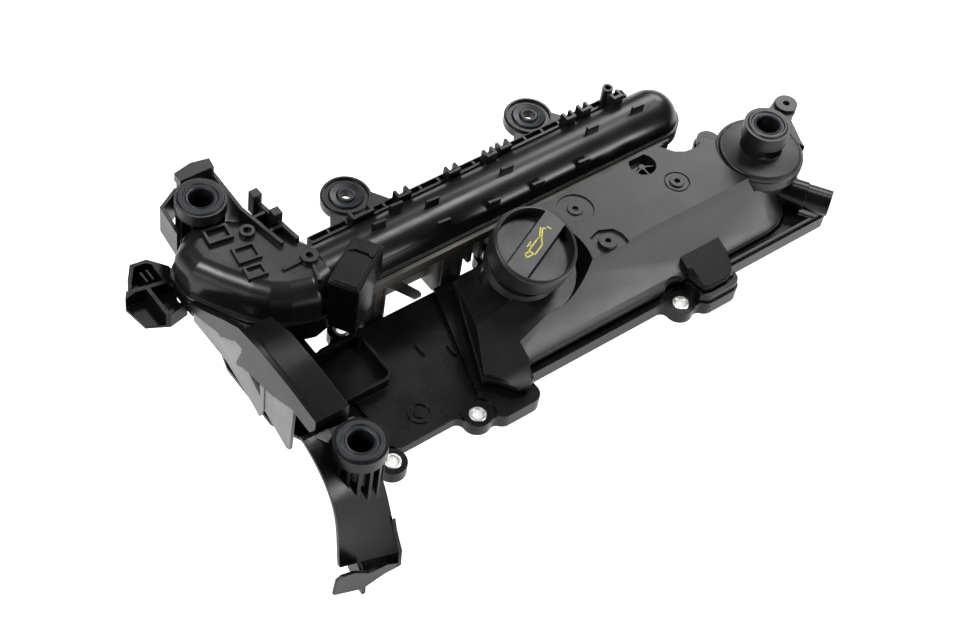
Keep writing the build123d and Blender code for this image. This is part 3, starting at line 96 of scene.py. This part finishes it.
floor_z = cad_box[0][2] - 0.0012
bm = bmesh.new()
bmesh.ops.create_grid(bm, x_segments=1, y_segments=1, size=4.0)
me = bpy.data.meshes.new("floor")
bm.to_mesh(me); bm.free()
floor = bpy.data.objects.new("floor", me)
floor.location = (0, 0, floor_z)
scene.collection.objects.link(floor)
fm = bpy.data.materials.new("floor_white"); fm.use_nodes = True
b = fm.node_tree.nodes["Principled BSDF"]
b.inputs["Base Color"].default_value = (0.35, 0.35, 0.35, 1)
b.inputs["Roughness"].default_value = 0.8
b.inputs["Emission Color"].default_value = (1, 1, 1, 1)
b.inputs["Emission Strength"].default_value = 1.0
me.materials.append(fm)

world = bpy.data.worlds.new("studio"); scene.world = world
world.use_nodes = True
bg = world.node_tree.nodes["Background"]
bg.inputs[0].default_value = (1.0, 1.0, 1.0, 1)
bg.inputs[1].default_value = 0.10

# a soft bank behind and to the right gives the raised top its sheen, a small one above picks out the domes and the
# cap, and low ones at the left and front light the skirts
area("bank_behind", (1.20, 0.78, 1.02), (0.10, 0.05, 0.03), 0.95, 0.75, 14)
area("bank_high", (-0.95, 0.30, 1.35), (-0.15, 0.05, 0.0), 0.42, 0.42, 12)
area("bank_left", (-1.5, -0.1, 0.42), (-0.1, 0.0, 0.0), 1.1, 0.4, 3)
area("bank_cap", (0.62, 0.02, 1.42), (-0.05, 0.05, 0.07), 0.34, 0.34, 7)
area("bank_dome", (0.22, 0.86, 1.02), (-0.2, 0.14, 0.05), 0.2, 0.2, 1.1)
area("bank_front", (0.85, -1.35, 0.34), (0.08, 0.0, 0.03), 0.9, 0.3, 12)

scene.view_settings.view_transform = "Standard"
scene.view_settings.look = "Medium High Contrast"

# ------------------------------------------------------------------ materials
def new_mat(name):
    mt = bpy.data.materials.new(name)
    mt.use_nodes = True
    nt = mt.node_tree
    return mt, nt, nt.nodes, nt.links, nt.nodes["Principled BSDF"]


def plastic(name, dark, light, rough=(0.34, 0.5), grain=0.12, grain_scale=2600.0, edge=0.00045, dust=0.12, spec=0.5):
    """Moulded glass-filled nylon: fine spark-eroded grain, cloudy flow tone, softened edges, faint dust."""
    mt, nt, N, L, bsdf = new_mat(name)
    tc = N.new("ShaderNodeTexCoord")
    # cloudy tone from the melt flow
    flow = N.new("ShaderNodeTexNoise"); flow.inputs["Scale"].default_value = 26.0; flow.inputs["Detail"].default_value = 5.0
    L.new(tc.outputs["Object"], flow.inputs["Vector"])
    tone = N.new("ShaderNodeMapRange"); tone.inputs[1].default_value = 0.3; tone.inputs[2].default_value = 0.7
    L.new(flow.outputs["Fac"], tone.inputs[0])
    base = N.new("ShaderNodeMix"); base.data_type = "RGBA"
    base.inputs[6].default_value = (*dark, 1); base.inputs[7].default_value = (*light, 1)
    L.new(tone.outputs[0], base.inputs[0])
    # pale glass fibres near the skin
    fib = N.new("ShaderNodeTexNoise"); fib.inputs["Scale"].default_value = 1500.0; fib.inputs["Detail"].default_value = 2.0
    mp = N.new("ShaderNodeMapping"); mp.inputs["Scale"].default_value = (1.0, 0.25, 1.0)
    L.new(tc.outputs["Object"], mp.inputs[0]); L.new(mp.outputs[0], fib.inputs["Vector"])
    fr = N.new("ShaderNodeMapRange"); fr.inputs[1].default_value = 0.6; fr.inputs[2].default_value = 0.78; fr.inputs[4].default_value = 0.22
    L.new(fib.outputs["Fac"], fr.inputs[0])
    mix2 = N.new("ShaderNodeMix"); mix2.data_type = "RGBA"
    mix2.inputs[7].default_value = (min(light[0] * 3.0, 1), min(light[1] * 3.0, 1), min(light[2] * 3.0, 1), 1)
    L.new(fr.outputs[0], mix2.inputs[0]); L.new(base.outputs[2], mix2.inputs[6])
    # dust that lies on faces that look up
    geo = N.new("ShaderNodeNewGeometry")
    sep = N.new("ShaderNodeSeparateXYZ"); L.new(geo.outputs["Normal"], sep.inputs[0])
    dn = N.new("ShaderNodeTexNoise"); dn.inputs["Scale"].default_value = 90.0; dn.inputs["Detail"].default_value = 8.0; dn.inputs["Roughness"].default_value = 0.7
    L.new(tc.outputs["Object"], dn.inputs["Vector"])
    dr = N.new("ShaderNodeMapRange"); dr.inputs[1].default_value = 0.45; dr.inputs[2].default_value = 0.8; dr.inputs[4].default_value = dust
    L.new(dn.outputs["Fac"], dr.inputs[0])
    upw = N.new("ShaderNodeMapRange"); upw.inputs[1].default_value = 0.2; upw.inputs[2].default_value = 1.0
    L.new(sep.outputs["Z"], upw.inputs[0])
    mul = N.new("ShaderNodeMath"); mul.operation = "MULTIPLY"
    L.new(dr.outputs[0], mul.inputs[0]); L.new(upw.outputs[0], mul.inputs[1])
    mix3 = N.new("ShaderNodeMix"); mix3.data_type = "RGBA"
    mix3.inputs[7].default_value = (0.10, 0.097, 0.093, 1)
    L.new(mul.outputs[0], mix3.inputs[0]); L.new(mix2.outputs[2], mix3.inputs[6])
    L.new(mix3.outputs[2], bsdf.inputs["Base Color"])
    # roughness
    rn = N.new("ShaderNodeTexNoise"); rn.inputs["Scale"].default_value = 60.0; rn.inputs["Detail"].default_value = 6.0
    L.new(tc.outputs["Object"], rn.inputs["Vector"])
    rr = N.new("ShaderNodeMapRange"); rr.inputs[1].default_value = 0.3; rr.inputs[2].default_value = 0.7
    rr.inputs[3].default_value = rough[0]; rr.inputs[4].default_value = rough[1]
    L.new(rn.outputs["Fac"], rr.inputs[0]); L.new(rr.outputs[0], bsdf.inputs["Roughness"])
    # grain and softened edges
    gr = N.new("ShaderNodeTexNoise"); gr.inputs["Scale"].default_value = grain_scale; gr.inputs["Detail"].default_value = 3.0
    L.new(tc.outputs["Object"], gr.inputs["Vector"])
    bump = N.new("ShaderNodeBump"); bump.inputs["Strength"].default_value = grain; bump.inputs["Distance"].default_value = 0.0001
    L.new(gr.outputs["Fac"], bump.inputs["Height"])
    if edge > 0:
        bev = N.new("ShaderNodeBevel"); bev.samples = 6; bev.inputs["Radius"].default_value = edge
        L.new(bev.outputs[0], bump.inputs["Normal"])
    L.new(bump.outputs[0], bsdf.inputs["Normal"])
    bsdf.inputs["Specular IOR Level"].default_value = spec
    return mt


def rubber(name, col, rough=0.5):
    mt, nt, N, L, bsdf = new_mat(name)
    tc = N.new("ShaderNodeTexCoord")
    n1 = N.new("ShaderNodeTexNoise"); n1.inputs["Scale"].default_value = 180.0; n1.inputs["Detail"].default_value = 6.0
    L.new(tc.outputs["Object"], n1.inputs["Vector"])
    rmp = N.new("ShaderNodeValToRGB")
    rmp.color_ramp.elements[0].position = 0.3; rmp.color_ramp.elements[0].color = (*[c * 0.7 for c in col], 1)
    rmp.color_ramp.elements[1].position = 0.75; rmp.color_ramp.elements[1].color = (*[c * 1.5 for c in col], 1)
    L.new(n1.outputs["Fac"], rmp.inputs[0]); L.new(rmp.outputs[0], bsdf.inputs["Base Color"])
    rr = N.new("ShaderNodeMapRange"); rr.inputs[3].default_value = rough - 0.1; rr.inputs[4].default_value = rough + 0.12
    L.new(n1.outputs["Fac"], rr.inputs[0]); L.new(rr.outputs[0], bsdf.inputs["Roughness"])
    g = N.new("ShaderNodeTexNoise"); g.inputs["Scale"].default_value = 1400.0
    L.new(tc.outputs["Object"], g.inputs["Vector"])
    bump = N.new("ShaderNodeBump"); bump.inputs["Strength"].default_value = 0.15; bump.inputs["Distance"].default_value = 0.0001
    L.new(g.outputs["Fac"], bump.inputs["Height"])
    bev = N.new("ShaderNodeBevel"); bev.samples = 6; bev.inputs["Radius"].default_value = 0.0005
    L.new(bev.outputs[0], bump.inputs["Normal"]); L.new(bump.outputs[0], bsdf.inputs["Normal"])
    return mt


def steel(name, col, rough=0.3, metallic=1.0):
    mt, nt, N, L, bsdf = new_mat(name)
    tc = N.new("ShaderNodeTexCoord")
    mp = N.new("ShaderNodeMapping"); mp.inputs["Scale"].default_value = (1, 1, 12)
    n1 = N.new("ShaderNodeTexNoise"); n1.inputs["Scale"].default_value = 500.0; n1.inputs["Detail"].default_value = 8.0
    L.new(tc.outputs["Object"], mp.inputs[0]); L.new(mp.outputs[0], n1.inputs["Vector"])
    rmp = N.new("ShaderNodeValToRGB")
    rmp.color_ramp.elements[0].position = 0.3; rmp.color_ramp.elements[0].color = (*[c * 0.8 for c in col], 1)
    rmp.color_ramp.elements[1].position = 0.7; rmp.color_ramp.elements[1].color = (*col, 1)
    L.new(n1.outputs["Fac"], rmp.inputs[0]); L.new(rmp.outputs[0], bsdf.inputs["Base Color"])
    rr = N.new("ShaderNodeMapRange"); rr.inputs[3].default_value = rough - 0.08; rr.inputs[4].default_value = rough + 0.15
    L.new(n1.outputs["Fac"], rr.inputs[0]); L.new(rr.outputs[0], bsdf.inputs["Roughness"])
    bsdf.inputs["Metallic"].default_value = metallic
    bump = N.new("ShaderNodeBump"); bump.inputs["Strength"].default_value = 0.08; bump.inputs["Distance"].default_value = 0.00005
    L.new(n1.outputs["Fac"], bump.inputs["Height"])
    bev = N.new("ShaderNodeBevel"); bev.samples = 6; bev.inputs["Radius"].default_value = 0.0003
    L.new(bev.outputs[0], bump.inputs["Normal"]); L.new(bump.outputs[0], bsdf.inputs["Normal"])
    return mt


NYLON = plastic("black_nylon", (0.0042, 0.0045, 0.0050), (0.0078, 0.0081, 0.0088), rough=(0.25, 0.32), dust=0.05, spec=0.3)
COVER = plastic("cover_nylon", (0.008, 0.0083, 0.0091), (0.0125, 0.0129, 0.0139), rough=(0.37, 0.42), grain=0.24, dust=0.08)
# the cap is the same black nylon painted paler: painted light for the light its grip bar and recesses catch
CAP_PAINTED_LIGHT = plastic("cap_nylon", (0.017, 0.0178, 0.0192), (0.025, 0.0258, 0.0275), rough=(0.38, 0.44), grain=0.16, dust=0.08)
PLENUM = plastic("plenum_nylon", (0.0095, 0.0098, 0.0105), (0.0155, 0.0159, 0.0168), rough=(0.29, 0.35), grain=0.2, dust=0.08)
BROWN = plastic("weathered_nylon", (0.10, 0.092, 0.083), (0.19, 0.178, 0.162), rough=(0.4, 0.56), grain=0.2, dust=0.2)
# the side shield is the same black nylon, painted light grey: a painted reflection of the bright floor and the low left
# lamp it faces
SHIELD_PAINTED_REFLECTION = plastic("grey_shield", (0.17, 0.17, 0.168), (0.23, 0.23, 0.226), rough=(0.35, 0.5), grain=0.08, dust=0.05)
NATURAL = plastic("natural_nylon", (0.6, 0.58, 0.5), (0.72, 0.7, 0.62))
RUBBER = rubber("seal_rubber", (0.01, 0.01, 0.0105))
GROM = rubber("grommet_rubber", (0.016, 0.018, 0.022), 0.4)
STEEL = steel("limiter_steel", (0.78, 0.78, 0.76), 0.32)
SPRING = steel("spring_steel", (0.6, 0.6, 0.6), 0.28)

MAT = {n: NYLON for n in nodes}
MAT.update(breather_cover=COVER, oil_filler_cap=CAP_PAINTED_LIGHT, pcv_cap=COVER, intake_upper_shell=PLENUM, intake_lower_shell=BROWN,
           side_shield=SHIELD_PAINTED_REFLECTION, pcv_plate=NATURAL, bolt_limiters=STEEL, pcv_spring=SPRING, inlet_duct_upper=PLENUM)
for n in ("cover_gasket", "cap_seal", "port_seals", "drain_valve", "pcv_diaphragm"):
    MAT[n] = RUBBER
for n in ("grommet_front_left", "grommet_rear_left", "grommet_right", "eye_grommet_left", "eye_grommet_right"):
    MAT[n] = GROM


def dress(o, mat, bevel=0.0):
    """Material and true rounded edges on a carried-over CAD node; its own vertices stay as they are."""
    o.data.materials.clear()
    o.data.materials.append(mat)
    w = o.modifiers.new("weld", "WELD"); w.merge_threshold = 2e-6
    if bevel > 0:
        bv = o.modifiers.new("edges", "BEVEL")
        bv.width = bevel; bv.segments = 2; bv.limit_method = "ANGLE"; bv.angle_limit = math.radians(38)
        bv.use_clamp_overlap = True; bv.harden_normals = False
    for p in o.data.polygons:
        p.use_smooth = True
    es = o.modifiers.new("split", "EDGE_SPLIT"); es.split_angle = math.radians(32); es.use_edge_sharp = False


for n, o in nodes.items():
    dress(o, MAT[n])

# ------------------------------------------------------------------ mesh helpers (millimetres, about the cover's middle)
def to_object(name, verts, faces, mat=None):
    """Mesh from points in drawing millimetres."""
    me = bpy.data.meshes.new(name)
    me.from_pydata([(x * MM, y * MM + LAND, z * MM) for x, y, z in verts], [], faces)
    me.validate(); me.update()
    o = bpy.data.objects.new(name, me)
    scene.collection.objects.link(o)
    if mat is not None:
        me.materials.append(mat)
    return o


def flip_out(o):
    bm = bmesh.new(); bm.from_mesh(o.data)
    bmesh.ops.recalc_face_normals(bm, faces=bm.faces)
    bm.to_mesh(o.data); bm.free()
    return o


NECK = (-50.0, 6.0, 47.5)          # middle of the filler neck's foot
TILT = math.radians(16.0)
NDIR = (0.0, -math.sin(TILT), math.cos(TILT))

# ------------------------------------------------------------------ pale moulded oil-can symbol on the cap's grip bar
YELLOW, nt, N, L, bsdf = new_mat("symbol_paint")
tc = N.new("ShaderNodeTexCoord")
n1 = N.new("ShaderNodeTexNoise"); n1.inputs["Scale"].default_value = 900.0; n1.inputs["Detail"].default_value = 4.0
L.new(tc.outputs["Object"], n1.inputs["Vector"])
rmp = N.new("ShaderNodeValToRGB")
rmp.color_ramp.elements[0].position = 0.3; rmp.color_ramp.elements[0].color = (0.50, 0.44, 0.07, 1)
rmp.color_ramp.elements[1].position = 0.7; rmp.color_ramp.elements[1].color = (0.66, 0.60, 0.13, 1)
L.new(n1.outputs["Fac"], rmp.inputs[0]); L.new(rmp.outputs[0], bsdf.inputs["Base Color"])
bsdf.inputs["Roughness"].default_value = 0.5
bp = N.new("ShaderNodeBump"); bp.inputs["Strength"].default_value = 0.2; bp.inputs["Distance"].default_value = 0.0001
L.new(n1.outputs["Fac"], bp.inputs["Height"]); L.new(bp.outputs[0], bsdf.inputs["Normal"])


def symbol():
    """Outline of an oil can with handle, spout and drop, drawn as thin raised strips along the bar."""
    ca, sa = math.cos(math.radians(23.8)), math.sin(math.radians(23.8))
    z = Vector(NDIR); x = Vector((1, 0, 0)); y = z.cross(x)
    o = Vector(NECK) + z * 30.5

    def put(p, q, h):
        u, v_ = p * ca - q * sa, p * sa + q * ca
        return tuple(o + x * u + y * v_ + z * h)
    strokes = [
        [(-7.0, -3.0), (2.0, -3.0), (5.6, -0.4), (11.8, 2.6)],
        [(11.8, 2.6), (12.8, 1.2)],
        [(-7.0, -3.0), (-7.0, 1.4), (3.0, 1.4), (5.0, 0.9), (11.2, 3.8)],
        [(-7.0, 0.6), (-10.6, 2.2), (-12.0, -0.2), (-7.2, -2.0)],
        [(-3.4, 1.4), (-3.4, 3.4)],
        [(-5.4, 3.6), (-1.4, 3.6)],
        [(14.6, 0.6), (14.9, -1.6)],
    ]
    v, f = [], []
    for st in strokes:
        for (a0, b0), (a1, b1) in zip(st, st[1:]):
            dx, dy = a1 - a0, b1 - b0
            l_ = math.hypot(dx, dy); dx, dy = dx / l_, dy / l_
            w = 0.42
            k = len(v)
            for h in (-0.3, 0.16):
                for (p, q, s_, e_) in ((a0, b0, -1, -1), (a1, b1, 1, -1), (a1, b1, 1, 1), (a0, b0, -1, 1)):
                    v.append(put(p + dx * w * s_ * 0.9 - dy * w * e_, q + dy * w * s_ * 0.9 + dx * w * e_, h))
            f += [[k, k + 3, k + 2, k + 1], [k + 4, k + 5, k + 6, k + 7], [k, k + 1, k + 5, k + 4], [k + 1, k + 2, k + 6, k + 5], [k + 2, k + 3, k + 7, k + 6], [k + 3, k, k + 4, k + 7]]
    return flip_out(to_object("oil_symbol", v, f, YELLOW))


sym = symbol()
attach(sym, "cap")

# ------------------------------------------------------------------ latch lid and strap on the harness holder
def plate(cx, cy, angle, length, width, z0, z1, r, edge, k=6):
    """Points and faces of a flat plate with round corners and a softened upper edge; sizes in drawing millimetres."""
    a0 = math.radians(angle); ca, sa = math.cos(a0), math.sin(a0)

    def ring(inset, z):
        pts = []
        hx, hy, rr = length / 2 - inset, width / 2 - inset, max(r - inset, 0.15)
        for qx, qy, st in ((1, 1, 0), (-1, 1, 90), (-1, -1, 180), (1, -1, 270)):
            for j in range(k + 1):
                t = math.radians(st + 90.0 * j / k)
                x, y = qx * (hx - rr) + rr * math.cos(t), qy * (hy - rr) + rr * math.sin(t)
                pts.append((cx + x * ca - y * sa, cy + x * sa + y * ca, z))
        return pts
    rings = [ring(0.0, z0), ring(0.0, z1 - edge), ring(edge * 0.3, z1 - edge * 0.3), ring(edge, z1)]
    n = len(rings[0])
    v = [q for rg in rings for q in rg]
    f = [list(range(n))[::-1], list(range(3 * n, 4 * n))]
    for m_ in range(3):
        f += [[m_ * n + j, m_ * n + (j + 1) % n, (m_ + 1) * n + (j + 1) % n, (m_ + 1) * n + j] for j in range(n)]
    return v, f


def plates(name, rows, mat, body):
    """One piece made of several plates."""
    v, f = [], []
    for row in rows:
        pv, pf = plate(*row)
        f += [[j + len(v) for j in q] for q in pf]
        v += pv
    o = flip_out(to_object(name, v, f, mat))
    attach(o, body)
    return o


A33 = math.radians(33.0)


def on_holder(u, w):
    """Plan point of the holder's top from its own long and short directions."""
    return -148.5 + u * math.cos(A33) - w * math.sin(A33), 46.5 + u * math.sin(A33) + w * math.cos(A33)


lid = plates("holder_lid", [
    (*on_holder(-5.2, 0.0), 33.0, 26.0, 16.4, 69.9, 70.9, 1.2, 0.35),
    (*on_holder(13.6, 0.0), 33.0, 9.4, 16.4, 69.9, 71.7, 1.0, 0.4),
    (*on_holder(8.3, 6.3), 33.0, 2.4, 3.0, 69.9, 72.1, 0.5, 0.2),
    (*on_holder(8.3, -6.3), 33.0, 2.4, 3.0, 69.9, 72.1, 0.5, 0.2),
], NYLON, "cover")

# ------------------------------------------------------------------ spring and diaphragm that follow the valve plate
PCV = (142.4, -1.6)


def coil(z0, height, pitch, radius, wire, per_turn=48, sides=12):
    """Round wire wound up the valve's axis, with flat ground ends."""
    n = int(round(height / pitch * per_turn))
    v, f = [], []
    for k in range(n + 1):
        t = 2 * math.pi * k / per_turn
        out, along = Vector((math.cos(t), math.sin(t), 0)), Vector((-math.sin(t) * radius, math.cos(t) * radius, pitch / (2 * math.pi))).normalized()
        side = along.cross(out)
        c = Vector((PCV[0], PCV[1], z0 + height * k / n)) + out * radius
        for j in range(sides):
            a = 2 * math.pi * j / sides
            v.append(tuple(c + out * (wire * math.cos(a)) + side * (wire * math.sin(a))))
    for k in range(n):
        f += [[k * sides + j, k * sides + (j + 1) % sides, (k + 1) * sides + (j + 1) % sides, (k + 1) * sides + j] for j in range(sides)]
    f += [list(range(sides))[::-1], list(range(n * sides, (n + 1) * sides))]
    o = flip_out(to_object("valve_spring", v, f, SPRING))
    for q in o.data.polygons:
        q.use_smooth = len(q.vertices) == 4
    return o


def ring_of(name, profile, mat, steps=96):
    """Closed ring turned from (radius, height) points round the valve's axis."""
    m_ = len(profile)
    v = [(PCV[0] + r * math.cos(2 * math.pi * k / steps), PCV[1] + r * math.sin(2 * math.pi * k / steps), z) for k in range(steps) for r, z in profile]
    f = [[k * m_ + j, k * m_ + (j + 1) % m_, ((k + 1) % steps) * m_ + (j + 1) % m_, ((k + 1) % steps) * m_ + j] for k in range(steps) for j in range(m_)]
    o = flip_out(to_object(name, v, f, mat))
    for q in o.data.polygons:
        q.use_smooth = True
    return o


wound = coil(20.4, 17.9, 3.6, 5.7, 0.65)
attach(wound, "cover")
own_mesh(wound)
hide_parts("pcv_spring")

skin = ring_of("valve_diaphragm", [
    (9.0, 41.2), (12.6, 41.2), (13.9, 42.1), (15.0, 43.4), (16.6, 44.2), (18.5, 44.8), (20.3, 45.8), (22.0, 47.0), (24.6, 47.0), (27.3, 47.0),
    (27.3, 48.1), (25.8, 48.6), (24.4, 49.0), (23.0, 48.6), (21.6, 48.0), (19.8, 46.8), (18.0, 45.8), (16.3, 45.0), (14.6, 44.4), (13.4, 43.2), (12.2, 42.2), (9.0, 42.2)], RUBBER)
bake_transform(skin)
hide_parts("pcv_diaphragm")
